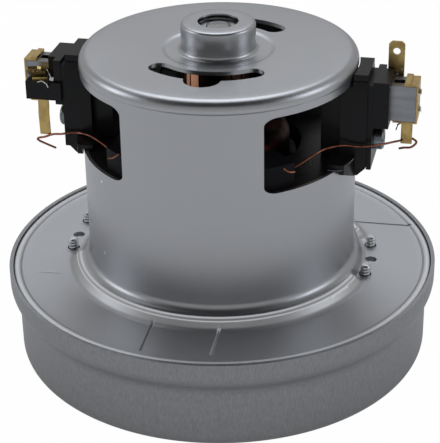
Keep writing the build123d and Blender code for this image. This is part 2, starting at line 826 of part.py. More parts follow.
# Lead clip: a brass strip that hangs from the arm and holds the end of the field lead
for side, middle, turn in (
    ("right", lead_clip_middle_right, 0),
    ("left", lead_clip_middle_left, 180),
):
    with BuildPart() as lead_clip:
        with BuildSketch(Plane.YZ.offset(middle - lead_clip_width / 2)):
            with BuildLine():
                Polyline(
                    (lead_clip_y, arm_low),
                    (lead_clip_y, arm_low - lead_clip_bend),
                    (lead_clip_y + lead_clip_offset, arm_low - 2 * lead_clip_bend),
                    (lead_clip_y, lead_clip_bottom),
                )
                offset(amount=clip_thickness, side=Side.LEFT, kind=Kind.INTERSECTION)
            make_face()
        extrude(amount=lead_clip_width)
        foot_middle = middle + (lead_clip_foot_width - lead_clip_width) / 2
        with BuildSketch(Plane.XZ.offset(-lead_clip_y)):
            with Locations((foot_middle, arm_low - lead_clip_foot_height / 2)):
                Rectangle(lead_clip_foot_width, lead_clip_foot_height)
        extrude(amount=-clip_thickness)
    save(lead_clip.part.rotate(Axis.Z, turn), f"lead_clip_{side}")


def blade(length):
    """A flat terminal blade that stands up from its foot, in its own frame."""
    with BuildPart() as piece:
        with BuildSketch(Plane.XZ.offset(-blade_thickness / 2)):
            with Locations((0, length / 2)):
                Rectangle(blade_width, length)
            with Locations((0, length - blade_hole_drop)):
                Circle(blade_hole_radius, mode=Mode.SUBTRACT)
        extrude(amount=blade_thickness)
        corners = piece.edges().filter_by(Axis.Y).group_by(Axis.Z)[-1]
        chamfer(corners, blade_chamfer)
    return piece.part


# Right terminal: a flat blade with a hole, upright on the arm
right_blade = Pos(blade_middle, blade_y, arm_high) * blade(blade_top - arm_high)
save(right_blade, "terminal_right")

# Left terminal: the same blade bent outward just above its foot
left_bend = arm_high + left_blade_foot_height
with BuildPart() as left_terminal:
    with BuildSketch(Plane.XY.offset(arm_high)):
        with Locations((-left_blade_middle, -left_blade_y)):
            Rectangle(blade_width, blade_thickness, rotation=left_blade_turn)
    extrude(amount=left_blade_foot_height + blade_thickness / 2)
    bend_place = Pos(-left_blade_middle, -left_blade_y, left_bend) * Rot(0, 0, left_blade_turn)
    add(bend_place * Rot(left_blade_tilt, 0, 0) * Rot(0, -left_blade_lean, 0) * blade(left_blade_length))
save(left_terminal.part, "terminal_left")


def field_lead(route, rounds, label):
    """A wire of straight runs joined by arcs, along the corners of its route."""
    with BuildPart() as piece:
        with BuildLine() as path:
            FilletPolyline(*route, radius=rounds)
        run = path.wires()[0]
        with BuildSketch(Plane(origin=run @ 0, z_dir=run % 0)):
            Circle(wire_radius)
        sweep(path=run)
    print(label, "arc radii:", rounds, "length:", round(run.length, 1))
    save(piece.part, label)


field_lead(right_route, right_rounds, "field_lead_right")
field_lead(left_route, left_rounds, "field_lead_left")
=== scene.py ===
import json
import math

import bmesh
import bpy
import numpy as np
from mathutils import Matrix, Vector


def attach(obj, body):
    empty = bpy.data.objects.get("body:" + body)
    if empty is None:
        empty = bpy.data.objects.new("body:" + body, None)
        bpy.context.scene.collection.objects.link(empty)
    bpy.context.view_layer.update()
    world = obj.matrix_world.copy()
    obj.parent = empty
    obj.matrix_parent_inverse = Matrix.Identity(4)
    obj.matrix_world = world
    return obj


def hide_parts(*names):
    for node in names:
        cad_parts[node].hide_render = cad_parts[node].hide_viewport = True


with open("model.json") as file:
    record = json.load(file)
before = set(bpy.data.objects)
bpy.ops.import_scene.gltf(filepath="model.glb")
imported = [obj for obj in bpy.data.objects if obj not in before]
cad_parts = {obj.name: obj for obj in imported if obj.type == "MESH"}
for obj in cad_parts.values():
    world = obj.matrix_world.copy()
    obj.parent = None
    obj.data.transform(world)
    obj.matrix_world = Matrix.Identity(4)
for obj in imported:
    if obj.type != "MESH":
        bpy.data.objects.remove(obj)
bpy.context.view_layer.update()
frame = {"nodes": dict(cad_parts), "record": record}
mm = 0.001
print("frame loaded:", len(frame["nodes"]), "nodes")


class Sock:
    # one output of a shader node; arithmetic on it adds the Math nodes
    def __init__(self, finish, socket):
        self.finish, self.socket = finish, socket

    def __add__(self, other):
        return self.finish.maths("ADD", self, other)

    def __sub__(self, other):
        return self.finish.maths("SUBTRACT", self, other)

    def __rsub__(self, other):
        return self.finish.maths("SUBTRACT", other, self)

    def __mul__(self, other):
        return self.finish.maths("MULTIPLY", self, other)

    __radd__ = __add__
    __rmul__ = __mul__


class Finish:
    # one material: node() adds any node, the rest are short forms of it
    def __init__(self, name, colour, roughness, metallic=0.0):
        self.material = bpy.data.materials.new(name)
        self.material.use_nodes = True
        self.tree = self.material.node_tree
        self.surface = self.tree.nodes["Principled BSDF"]
        self.set("Base Color", (*colour, 1.0))
        self.set("Roughness", roughness)
        self.set("Metallic", metallic)

    def feed(self, socket, value):
        if isinstance(value, Sock):
            self.tree.links.new(value.socket, socket)
        else:
            socket.default_value = value

    def set(self, socketName, value):
        self.feed(self.surface.inputs[socketName], value)

    def fed(self, socketName):
        # what already feeds a socket of the surface
        return Sock(self, self.surface.inputs[socketName].links[0].from_socket)

    def node(self, kind, settings, inputs, output=0):
        made = self.tree.nodes.new(kind)
        for key, value in settings.items():
            if key == "stops":  # a ramp's stops as (position, grey)
                ramp = made.color_ramp.elements
                for index, (position, grey) in enumerate(value):
                    stop = ramp[index] if index < 2 else ramp.new(position)
                    stop.position, stop.color = position, (grey, grey, grey, 1)
            else:
                setattr(made, key, value)
        for key, value in inputs.items():
            self.feed(made.inputs[key], value)
        return Sock(self, made.outputs[output])

    def maths(self, operation, first, second=0.0):
        return self.node("ShaderNodeMath", {"operation": operation}, {0: first, 1: second})

    def mix(self, factor, first, second):
        return self.node("ShaderNodeMix", {"data_type": "RGBA"}, {0: factor, 6: first, 7: second}, 2)

    def place(self, scale=(1, 1, 1)):
        where = self.node("ShaderNodeTexCoord", {}, {}, 3)
        return self.node("ShaderNodeMapping", {}, {"Vector": where, "Scale": scale})

    def noise(self, scale, detail, stretch=(1, 1, 1)):
        return self.node("ShaderNodeTexNoise", {}, {
            "Vector": self.place(stretch), "Scale": scale, "Detail": detail})

    def bump(self, height, strength, distance):
        self.set("Normal", self.node("ShaderNodeBump", {}, {
            "Height": height, "Strength": strength, "Distance": distance}))


# Finishes: colours are linear, lengths inside the textures are 1/m
sheetLook = dict(colour=(0.49, 0.497, 0.512), rough=0.36, swing=0.10, cloud=1.6, streak=900, along=14)


def drawnSheet(name, look, grain):
    # metal sheet with fine marks along its drawing direction and a soft cloudiness
    finish = Finish(name, look["colour"], look["rough"], 1.0)
    fine = finish.noise(look["streak"], 2.0, grain)
    cloud = finish.noise(look["along"], 4.0)
    tone = (fine - 0.5) * look["swing"] + (cloud - 0.5) * look["swing"] * look["cloud"] + 0.5
    dark = tuple(0.82 * c for c in look["colour"]) + (1.0,)
    pale = tuple(1.18 * c for c in look["colour"]) + (1.0,)
    finish.set("Base Color", finish.mix(tone, dark, pale))
    finish.set("Roughness", (cloud - 0.5) * 0.16 + (fine - 0.5) * 0.08 + look["rough"])
    finish.bump(fine, 0.10, 0.0002)
    return finish


def blend(finish, value, low, high, start=0.0, end=1.0):
    # from start to end in a smooth step while the value goes from low to high, both in mm
    return finish.node("ShaderNodeMapRange", {"interpolation_type": "SMOOTHSTEP"}, {
        "Value": value, "From Min": low * mm, "From Max": high * mm, "To Min": start, "To Max": end})


def splitPlace(finish):
    # x, y, z of the surface point as three sockets
    first = finish.node("ShaderNodeSeparateXYZ", {}, {0: finish.node("ShaderNodeTexCoord", {}, {}, 3)})
    return [Sock(finish, output) for output in first.socket.node.outputs]


def crease(finish, x, y, start, end, half):
    # 1 along a straight line in plan view, falling to 0 at half its width
    run = np.array(end) - np.array(start)
    length = float(np.hypot(*run))
    ux, uy = run / length
    along = (x - start[0] * mm) * float(ux) + (y - start[1] * mm) * float(uy)
    off = finish.maths("ABSOLUTE", (y - start[1] * mm) * float(ux) - (x - start[0] * mm) * float(uy))
    ends = blend(finish, along, -0.4, 0.4) * blend(finish, along, length - 0.4, length + 0.4, 1.0, 0.0)
    return blend(finish, off, 0.0, half, 1.0, 0.0) * ends


zincSheet = drawnSheet("zincSheet", sheetLook, (1, 1, 0.03))
# near black: the painted shade inside the can, and the dark inner ends of the brush tubes
nearBlack = (0.02, 0.02, 0.02, 1)
sheetMarks = dict(
    low=(32.0, 33.0), flat=(29.0, 29.8),
    creases=[((-10.4, -43.0), (-10.1, -58.8)), ((37.2, 28.1), (55.0, 28.6)), ((-51.7, -21.9), (-45.3, -21.6)),
             ((9.0, -43.1), (9.5, -57.5))],
    deep=(1.0, 1.0, 0.3, 1.0), creaseShadeShares=(0.5, 0.75, 0.2, 0.0), half=0.55, depth=0.35,
    # painted shade: the near black colour put into the stamped lines, by the shares above
    paintedCreaseShade=(0.03, 0.03, 0.03, 1),
    # the ring is partly worn pale and partly painted bright, with less metal
    ring=(42.75, 42.95), ringFoot=(28.8, 29.5), ringWearAndSheen=(0.55, 0.55, 0.55, 1),
    ringRough=0.42, ringMetal=0.6,
    # painted highlights along the ring's two edges, at these heights and half widths, in a near white with
    # less metal
    edges=((31.33, 0.3), (30.70, 0.26)), highlightColour=(0.98, 0.98, 0.98, 1), highlightMetal=0.55,
    # painted highlight along the rim's lip
    lip=(28.62, 28.85), lipRadius=(62.1, 62.5), lipHighlightShare=0.55,
    # painted highlight: a short pale streak on the ring's slope
    slopeStreak=((37.9, -23.5), (41.5, -16.4)), slopeStreakHalf=0.3,
    # two painted glints, small white spots on the can's wall
    paintedGlints=((-28.6, -28.1, 40.7), (-28.2, -28.6, 64.2)), glintSize=(0.3, 0.5), glintColour=(1, 1, 1, 1),
    flangeRough=0.12, flangeTop=(29.2, 30.5),
    # painted shade inside the can, in the boss's hole and in its cup: radii and heights below which the
    # colour turns near black
    insideShade=(((38.9, 39.4), (94.7, 94.95)), ((5.95, 6.05), (103.4, 103.8)), ((9.9, 10.1), (102.85, 102.95))),
)


def markSheet(finish, values):
    # stamped lines on the flange with painted shade in them, the ring partly worn and partly painted bright,
    # painted highlights on its edges, on a streak on its slope and on the rim's lip, two painted glints, and
    # painted shade inside
    x, y, z = splitPlace(finish)
    radius = finish.maths("SQRT", x * x + y * y)
    low = blend(finish, z, *values["low"], 1.0, 0.0)
    flat = blend(finish, z, *values["flat"], 1.0, 0.0)
    relief = shade = 0.0
    # painted shade: each stamped line also darkens the colour by its share
    for (start, end), deep, shadeShare in zip(values["creases"], values["deep"], values["creaseShadeShares"]):
        line = crease(finish, x, y, start, end, values["half"]) * flat
        relief = line * deep + relief
        shade = line * shadeShare + shade
    finish.set("Normal", finish.node("ShaderNodeBump", {"invert": True}, {
        "Height": relief, "Strength": 1.0, "Distance": values["depth"] * mm, "Normal": finish.fed("Normal")}))
    # ring: partly worn zinc and partly a painted highlight, in its paler colour
    ring = blend(finish, radius, *values["ring"]) * blend(finish, z, *values["ringFoot"]) * low
    plain = finish.mix(ring, finish.fed("Base Color"), values["ringWearAndSheen"])
    # painted highlights: the rim's lip, a streak on the ring's slope and the ring's two edges
    edge = blend(finish, radius, *values["lipRadius"]) * blend(finish, z, *values["lip"]) * values["lipHighlightShare"]
    # painted highlight: the short streak on the slope
    edge = crease(finish, x, y, *values["slopeStreak"], values["slopeStreakHalf"]) * low + edge
    for height, half in values["edges"]:
        off = finish.maths("ABSOLUTE", z - height * mm)
        edge = blend(finish, off, 0.0, half, 1.0, 0.0) * ring + edge
    edge = finish.maths("MINIMUM", edge, 1.0)
    plain = finish.mix(edge, plain, values["highlightColour"])
    finish.set("Metallic", 1 - ring * (1 - values["ringMetal"]) - edge * values["highlightMetal"])
    # painted shade in the stamped lines
    plain = finish.mix(shade, plain, values["paintedCreaseShade"])
    # painted glints: two small white spots on the wall
    for glintPlace in values["paintedGlints"]:
        spot = finish.node("ShaderNodeVectorMath", {"operation": "DISTANCE"}, {
            0: finish.node("ShaderNodeTexCoord", {}, {}, 3), 1: tuple(part * mm for part in glintPlace)}, 1)
        plain = finish.mix(blend(finish, spot, *values["glintSize"], 1.0, 0.0), plain, values["glintColour"])
    rough = finish.fed("Roughness") + blend(finish, z, *values["flangeTop"], values["flangeRough"], 0.0)
    finish.set("Roughness", rough + (values["ringRough"] - rough) * ring)
    # painted shade darkens the inside of the can, the hole of the boss and its cup
    insideShade = 0.0
    for radii, heights in values["insideShade"]:
        part = blend(finish, radius, *radii, 1.0, 0.0) * blend(finish, z, *heights, 1.0, 0.0)
        insideShade = finish.maths("MAXIMUM", part, insideShade)
    finish.set("Base Color", finish.mix(insideShade, plain, nearBlack))


markSheet(zincSheet, sheetMarks)
coverLook = dict(colour=(0.335, 0.34, 0.347), rough=0.45, swing=1.5, cloud=0.35, streak=2700, along=700)
spangleSheet = drawnSheet("spangleSheet", coverLook, (1, 1, 0.22))
tubeLook = dict(colour=(0.29, 0.297, 0.31), rough=0.32, swing=2.2, cloud=0.6, streak=420, along=150)
calmLook = dict(tubeLook, swing=0.7)
tubeSheet = drawnSheet("tubeSheet", tubeLook, (0.1, 1, 1))
tubeDarkEnd = (40.0, 44.0)  # distance from the shaft within which a tube turns near black
darkEnd = blend(tubeSheet, tubeSheet.maths("ABSOLUTE", splitPlace(tubeSheet)[0]), *tubeDarkEnd, 1.0, 0.0)
tubeSheet.set("Base Color", tubeSheet.mix(darkEnd, tubeSheet.fed("Base Color"), nearBlack))
plainSteel = drawnSheet("plainSteel", dict(calmLook, colour=(0.80, 0.81, 0.82), rough=0.5), (1, 1, 0.2))
brightZinc = drawnSheet("brightZinc", dict(calmLook, colour=(0.72, 0.73, 0.75), rough=0.28), (1, 1, 1))
dullZinc = drawnSheet("dullZinc", dict(calmLook, colour=(0.26, 0.29, 0.31), rough=0.34), (1, 1, 1))
fanSheet = drawnSheet("fanSheet", dict(sheetLook, colour=(0.62, 0.63, 0.64)), (1, 1, 0.2))


def moulded(name, colour, rough, grainBump, gloss=0.22):
    # moulded plastic: a fine grain and faint flow marks in the gloss
    finish = Finish(name, colour, rough)
    finish.set("Specular IOR Level", gloss)
    grain = finish.noise(2600, 2.0)
    flow = finish.noise(90, 3.0)
    finish.set("Roughness", (flow - 0.5) * 0.22 + rough)
    pale = tuple(1.5 * c + 0.002 for c in colour) + (1.0,)
    finish.set("Base Color", finish.mix(flow, (*colour, 1.0), pale))
    finish.bump(grain, grainBump, 0.0001)
    return finish


blackMoulding = moulded("blackMoulding", (0.004, 0.004, 0.0045), 0.30, 0.2)
# a pale plastic for a painted highlight along the edge of a holder
highlightMoulding = moulded("highlightMoulding", (0.16, 0.155, 0.16), 0.3, 0.1, 0.5)
guideMoulding = moulded("guideMoulding", (0.012, 0.012, 0.013), 0.5, 0.2)
coilWrap = moulded("coilWrap", (0.004, 0.004, 0.005), 0.5, 0.4, 0.10)
hubResin = moulded("hubResin", (0.10, 0.05, 0.025), 0.45, 0.2)
carbonBlock = moulded("carbonBlock", (0.022, 0.022, 0.024), 0.42, 0.5)


def toned(name, colour, darkColour, rough, scale):
    # a coloured metal with darker tarnish in patches
    finish = Finish(name, colour, rough, 1.0)
    patch = finish.noise(scale, 5.0)
    amount = finish.node("ShaderNodeValToRGB", {"stops": [(0.42, 0), (0.72, 1)]}, {"Fac": patch})
    finish.set("Base Color", finish.mix(amount, (*colour, 1.0), (*darkColour, 1.0)))
    finish.set("Roughness", patch * 0.25 + (rough - 0.08))
    return finish


rolledBrass = toned("rolledBrass", (0.62, 0.45, 0.17), (0.34, 0.22, 0.08), 0.28, 260)
leadCopper = toned("leadCopper", (0.40, 0.15, 0.09), (0.16, 0.055, 0.03), 0.32, 500)
coilCopper = toned("coilCopper", (0.045, 0.011, 0.007), (0.008, 0.004, 0.003), 0.45, 300)
turnedCopper = toned("turnedCopper", (0.035, 0.018, 0.012), (0.012, 0.008, 0.006), 0.34, 200)
# a few bars in a given band are pale copper, the rest are near black
paleBars = dict(left=(-7.4, -7.0), right=(-3.4, -3.0), front=(-9.0, -8.0), colour=(0.72, 0.36, 0.22, 1))
barX, barY = splitPlace(turnedCopper)[:2]
paleShare = blend(turnedCopper, barX, *paleBars["left"])
paleShare = paleShare * blend(turnedCopper, barX, *paleBars["right"], 1.0, 0.0)
paleShare = paleShare * blend(turnedCopper, barY, *paleBars["front"], 1.0, 0.0)
turnedCopper.set("Base Color", turnedCopper.mix(paleShare, turnedCopper.fed("Base Color"), paleBars["colour"]))
springWire = toned("springWire", (0.46, 0.46, 0.47), (0.25, 0.24, 0.23), 0.30, 400)
groundSteel = toned("groundSteel", (0.55, 0.55, 0.56), (0.40, 0.39, 0.37), 0.20, 120)

lamination = Finish("lamination", (0.20, 0.20, 0.205), 0.45, 1.0)
layers = lamination.node("ShaderNodeTexWave", {"bands_direction": "Z"}, {
    "Vector": lamination.place(), "Scale": 320.0, "Distortion": 0.4})
lamination.set("Base Color", lamination.mix(layers, (0.08, 0.075, 0.07, 1), (0.26, 0.26, 0.265, 1)))
lamination.bump(layers, 0.5, 0.0002)
print("finishes made")

finishOf = {
    "zinc_steel": zincSheet, "spangle_steel": spangleSheet, "bracket_steel": plainSteel,
    "screw_steel": brightZinc, "bearing_steel": groundSteel, "shaft_steel": groundSteel,
    "fan_alu": fanSheet, "guide_plastic": guideMoulding, "holder_plastic": blackMoulding,
    "lamination": lamination, "copper_enamel": coilCopper, "copper": turnedCopper,
    "coil_wrap": coilWrap, "lead_wire": leadCopper,
    "hub_resin": hubResin, "carbon": carbonBlock, "tube_steel": tubeSheet, "brass": rolledBrass,
    "spring_steel": springWire,
}
slotOf = {part["node"]: part["material_slot"] for part in frame["record"]["subparts"]}
bodyOf = {node: body for body, nodes in frame["record"]["behaviour"]["bodies"].items() for node in nodes}
for node, shown in frame["nodes"].items():
    for place in shown.material_slots:
        place.material = finishOf[slotOf[node]].material
print("finishes set on the nodes")


def addPiece(name, mesh, finish, body, replaced=(), smoothAngle=35):
    # puts a finished mesh into the scene as one piece
    piece = bpy.data.objects.new(name, mesh)
    bpy.context.collection.objects.link(piece)
    mesh.materials.clear()
    mesh.materials.append(finish.material)
    mesh.shade_smooth()
    mesh.set_sharp_from_angle(angle=math.radians(smoothAngle))
    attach(piece, body)
    if replaced:
        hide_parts(*replaced)
    return piece


def gridMesh(name, points, closedRows, closedColumns):
    # p(u, v) as an array (rows, columns, 3); each cell becomes a quad
    rows, columns = points.shape[:2]
    index = np.arange(rows * columns).reshape(rows, columns)
    down = np.roll(index, -1, 0)
    low = slice(None) if closedRows else slice(0, -1)
    right = slice(None) if closedColumns else slice(0, -1)
    corners = (index, np.roll(index, -1, 1), np.roll(down, -1, 1), down)
    quads = np.stack([corner[low, right].ravel() for corner in corners], 1)
    mesh = bpy.data.meshes.new(name)
    mesh.from_pydata(points.reshape(-1, 3).tolist(), [], quads.tolist())
    return mesh


def roundedLine(corners, radii, step):
    # corners joined by straight runs, each corner replaced by a tangent arc of its radius
    corners = np.array(corners, float)
    line = [corners[0]]
    for before, here, after, radius in zip(corners, corners[1:], corners[2:], radii[1:-1]):
        toBefore = (before - here) / np.linalg.norm(before - here)
        toAfter = (after - here) / np.linalg.norm(after - here)
        half = math.acos(np.clip(toBefore @ toAfter, -1, 1)) / 2
        if radius <= 0 or half > math.pi / 2 - 0.01:
            line.append(here)
            continue
        reach = radius / math.tan(half)
        middle = (toBefore + toAfter) / np.linalg.norm(toBefore + toAfter)
        centre = here + middle * radius / math.sin(half)
        first, last = here + toBefore * reach - centre, here + toAfter * reach - centre
        turn = math.pi - 2 * half
        parts = max(3, int(math.ceil(turn * radius / step)))
        share = np.linspace(0, 1, parts + 1)[:, None]
        arc = (np.sin((1 - share) * turn) * first + np.sin(share * turn) * last) / math.sin(turn)
        line.extend(centre + arc)
    line.append(corners[-1])
    return np.array(line)


def sheetLine(corners, radii, sheet, step):
    # a closed section: the outer line, then the same line one sheet thickness inside it
    corners = np.array(corners, float)
    run = np.diff(corners, axis=0)
    run /= np.linalg.norm(run, axis=1)[:, None]
    inward = np.stack([run[:, 1], -run[:, 0]], 1)  # to the right of the direction of travel
    inner = [corners[0] + inward[0] * sheet]
    innerRadii = [0.0]
    for index in range(1, len(corners) - 1):
        both = inward[index - 1] + inward[index]
        inner.append(corners[index] + both * sheet * 2 / (both @ both))
        turnsRight = run[index - 1][0] * run[index][1] - run[index - 1][1] * run[index][0] < 0
        change = -sheet if turnsRight else sheet
        innerRadii.append(max(radii[index] + change, 0.15) if radii[index] > 0 else 0.0)
    inner.append(corners[-1] + inward[-1] * sheet)
    innerRadii.append(0.0)
    outerLine = roundedLine(corners, radii, step)
    innerLine = roundedLine(inner, innerRadii, 3 * step)
    return outerLine, innerLine


def densify(line, step):
    # the same line with its long runs divided to at most the step
    pieces = [line[:1]]
    for start, end in zip(line, line[1:]):
        parts = max(1, int(math.ceil(np.linalg.norm(end - start) / step)))
        pieces.append(start + (end - start) * np.linspace(0, 1, parts + 1)[1:, None])
    return np.concatenate(pieces)


def turnedSheet(name, section, turns, lift=None):
    # p(u, v) = (r(u) cos v, r(u) sin v, z(u) + lift(r, v)), closed both ways, in mm
    angle = np.arange(turns) * 2 * math.pi / turns
    radius, height = section[:, 0][:, None], section[:, 1][:, None]
    z = height + np.zeros_like(angle)[None]
    if lift is not None:
        z = z + lift(radius, angle[None], height)
    points = np.stack([radius * np.cos(angle), radius * np.sin(angle), z], 2) * mm
    return gridMesh(name, points, True, True)


def smoothStep(low, high, value):
    # 0 below low, 1 above high, and 3 s^2 - 2 s^3 of the share s between them
    share = np.clip((value - low) / (high - low), 0, 1)
    return share * share * (3 - 2 * share)


# Motor can, drawn in one piece with its flange
can = dict(
    corners=[(5.9, 104.0), (10.8, 104.0), (10.8, 95.65), (15.2, 95.65), (16.4, 96.0), (40.5, 96.0),
             (40.5, 92.7), (40.2, 92.1), (40.2, 31.45), (43.1, 31.45), (44.3, 30.75), (46.1, 28.4),
             (61.2, 28.4), (61.8, 28.9), (63.7, 28.9), (63.7, 25.6)],
    radii=[0, 1.0, 1.3, 0.7, 0.9, 2.8, 0.25, 0.25, 2.6, 0.2, 0.2, 2.4, 0.5, 0.4, 0.6, 0],
    sheet=1.2, step=0.4, turns=512,
    windowLow=67.3, windowHigh=90.0, windowHalf=34.81, windowCorner=2.2,
    slotInner=18.8, slotOuter=25.3, slotEnds=[(-125.5, -52.0), (54.0, 110.5)], slotAngle=-88.0,
    notchRadius=5.2, notchPlace=24.9,
    holes=[(45.2, -5.7, 1.9), (46.2, 17.2, 1.9), (48.5, 164.7, 1.9), (46.4, 186.2, 1.9),
           (45.7, 5.8, 1.8), (47.0, 176.1, 1.8)],
    dents=(5.8, 175.6), dentHalf=15.0, dentFade=6.0, dentStart=41.4, dentEnd=43.6, plate=28.4,
)


def prism(name, outline, low, high, axis):
    # a straight cutter: the outline carried from low to high along the axis
    outline = np.array(outline, float)
    rows = []
    for level in (low, high):
        depth = np.full(len(outline), level)
        columns = ((depth, outline[:, 0], outline[:, 1]) if axis == "x"
                   else (outline[:, 0], outline[:, 1], depth))
        rows.append(np.stack(columns, 1))
    mesh = gridMesh(name, np.array(rows) * mm, False, True)
    count = len(outline)
    soft = bmesh.new()
    soft.from_mesh(mesh)
    soft.verts.ensure_lookup_table()
    soft.faces.new([soft.verts[i] for i in range(count)])
    soft.faces.new([soft.verts[i] for i in reversed(range(count, 2 * count))])
    bmesh.ops.recalc_face_normals(soft, faces=soft.faces)
    soft.to_mesh(mesh)
    soft.free()
    return bpy.data.objects.new(name, mesh)


def circleLine(x, y, radius, count=40):
    # p(a) = (x + radius cos a, y + radius sin a)
    angle = np.arange(count) * 2 * math.pi / count
    return np.stack([x + radius * np.cos(angle), y + radius * np.sin(angle)], 1)


def roundedBox(halfWidth, low, high, radius):
    # a box about the shaft's plane with its four corners rounded
    corners = [(0, low), (halfWidth, low), (halfWidth, high), (-halfWidth, high), (-halfWidth, low), (0, low)]
    return roundedLine(corners, [0, radius, radius, radius, radius, 0], 0.35)[:-1]


def kidney(values, ends):
    # an arc-shaped slot with round ends
    inner, outer = values["slotInner"], values["slotOuter"]
    middle, half = (inner + outer) / 2, (outer - inner) / 2
    start, end = np.radians(ends)
    sweep = np.linspace(start, end, 40)[:, None]
    cap = np.linspace(0, math.pi, 14)[1:-1][:, None]

    def around(angle, radius):
        return np.concatenate([radius * np.cos(angle), radius * np.sin(angle)], 1)

    endCap = around(np.array([[end]]), middle) + around(end + cap, half)
    startCap = around(np.array([[start]]), middle) + around(start + math.pi + cap, half)
    return np.concatenate([around(sweep, outer), endCap, around(sweep[::-1], inner), startCap])


def carve(piece, cutters):
    # takes the cutters out of the piece, one after another
    for cutter in cutters:
        bpy.context.collection.objects.link(cutter)
        hole = piece.modifiers.new("hole", "BOOLEAN")
        hole.operation, hole.solver, hole.object = "DIFFERENCE", "MANIFOLD", cutter
    shaped = bpy.data.meshes.new_from_object(piece.evaluated_get(bpy.context.evaluated_depsgraph_get()))
    piece.modifiers.clear()
    piece.data = shaped
    for cutter in cutters:
        bpy.data.objects.remove(cutter)
    return shaped


def makeCan():
    # the section turned about the shaft, then the windows, slots and holes cut out of it
    outer, inner = sheetLine(can["corners"], can["radii"], can["sheet"], can["step"])
    outer, inner = densify(outer, 2.4), densify(inner, 6.0)[::-1]
    section = np.concatenate([outer, inner])
    ground = np.concatenate([np.full(len(outer), can["plate"]),
                             np.full(len(inner), can["plate"] - can["sheet"])])

    def relief(radius, angle, height):
        # z change: the ring at the foot of the can is pressed down to the plate beside the screws
        pad = 0.0
        for middle in can["dents"]:
            off = np.abs((np.degrees(angle) - middle + 180) % 360 - 180)
            pad = pad + 1 - smoothStep(can["dentHalf"], can["dentHalf"] + can["dentFade"], off)
        level = height - ground[:, None]
        drop = smoothStep(can["dentStart"], can["dentEnd"], radius) * level
        return np.where((level > 0) & (height < 33) & (radius < 47.5), -drop * pad, 0.0)

    mesh = turnedSheet("motorCan", section, can["turns"], relief)
    piece = bpy.data.objects.new("motorCanBlank", mesh)
    bpy.context.collection.objects.link(piece)
    cutters = [prism("windows", roundedBox(can["windowHalf"], can["windowLow"], can["windowHigh"],
                                           can["windowCorner"]), -60, 60, "x")]
    for turn, ends in zip((0, 180), can["slotEnds"]):
        cutters.append(prism("slot", kidney(can, ends), 90, 100, "z"))
        angle = math.radians(turn + can["slotAngle"])
        notch = circleLine(can["notchPlace"] * math.cos(angle), can["notchPlace"] * math.sin(angle),
                           can["notchRadius"])
        cutters.append(prism("notch", notch, 90, 100, "z"))
    for place, degrees, radius in can["holes"]:
        angle = math.radians(degrees)
        hole = circleLine(place * math.cos(angle), place * math.sin(angle), radius, 28)
        cutters.append(prism("screwHole", hole, 24, 36, "z"))
    shaped = carve(piece, cutters)
    bpy.data.objects.remove(piece)
    return addPiece("motorCan", shaped, zincSheet, "frame", ["motor_can"])


makeCan()
print("motor can made")

# Fan cover, a cup with a wider band at its top
cover = dict(
    corners=[(18.5, 3.4), (18.5, 0.0), (62.6, 0.0), (62.6, 19.4), (65.0, 23.2), (65.0, 29.3)],
    radii=[0, 1.8, 4.2, 6.5, 6.5, 0], sheet=1.15, step=0.5, turns=512,
)


def makeCover():
    # the line runs outward and up, so the sheet lies on its left: the mirrored order puts it right
    corners, radii = cover["corners"][::-1], cover["radii"][::-1]
    outer, inner = sheetLine(corners, radii, cover["sheet"], cover["step"])
    section = np.concatenate([densify(outer, 3.0), densify(inner, 6.0)[::-1]])
    mesh = turnedSheet("fanCover", section, cover["turns"])
    soft = bmesh.new()
    soft.from_mesh(mesh)
    bmesh.ops.recalc_face_normals(soft, faces=soft.faces)
    soft.to_mesh(mesh)
    soft.free()
    return addPiece("fanCover", mesh, spangleSheet, "frame", ["fan_cover"])


makeCover()
print("fan cover made")


def dress(node, finish, edge, segments, sharpAngle=30, doubles=0.002):
    # the node's own form with its edges broken; a copy of the mesh is merged first
    source = frame["nodes"][node]
    soft = bmesh.new()
    soft.from_mesh(source.data)
    bmesh.ops.remove_doubles(soft, verts=soft.verts, dist=doubles * mm)
    bmesh.ops.dissolve_limit(soft, angle_limit=math.radians(0.5), verts=soft.verts, edges=soft.edges)
    bmesh.ops.recalc_face_normals(soft, faces=soft.faces)
    mesh = bpy.data.meshes.new(node + "Look")
    soft.to_mesh(mesh)
    soft.free()
    for name in [item.name for item in mesh.attributes if item.name == "custom_normal"]:
        mesh.attributes.remove(mesh.attributes[name])
    piece = addPiece(node + "_look", mesh, finish, bodyOf[node], [node], sharpAngle)
    bevel = piece.modifiers.new("edges", "BEVEL")
    bevel.width, bevel.segments = edge * mm, segments
    bevel.limit_method, bevel.angle_limit = "ANGLE", math.radians(sharpAngle)
    bevel.harden_normals = True
    return piece


# finish, width of the broken edge in mm and its segments
brushGear = dict(
    brush_holder=(blackMoulding, 0.3, 3), brush_tube=(tubeSheet, 0.14, 2), end_clip=(rolledBrass, 0.08, 2),
    lead_clip=(rolledBrass, 0.08, 2), terminal=(rolledBrass, 0.08, 2), holder_screw=(dullZinc, 0.15, 2),
)
for side in ("right", "left"):
    for part, (finish, edge, segments) in brushGear.items():
        dress(f"{part}_{side}", finish, edge, segments)
print("brush gear dressed")

# Bracket screws: p(z, a) = (r cos a, r sin a, z) about the screw's own axis, r with a thread
stud = dict(
    places=[(45.2, -5.7), (46.2, 17.2), (48.5, 164.7), (46.4, 186.2)], radius=1.40, crest=0.2, pitch=0.95,
    low=23.6, tip=31.55, taper=0.45, headRadius=2.7, headHeight=1.9, floor=25.6, around=40, rows=110,
)


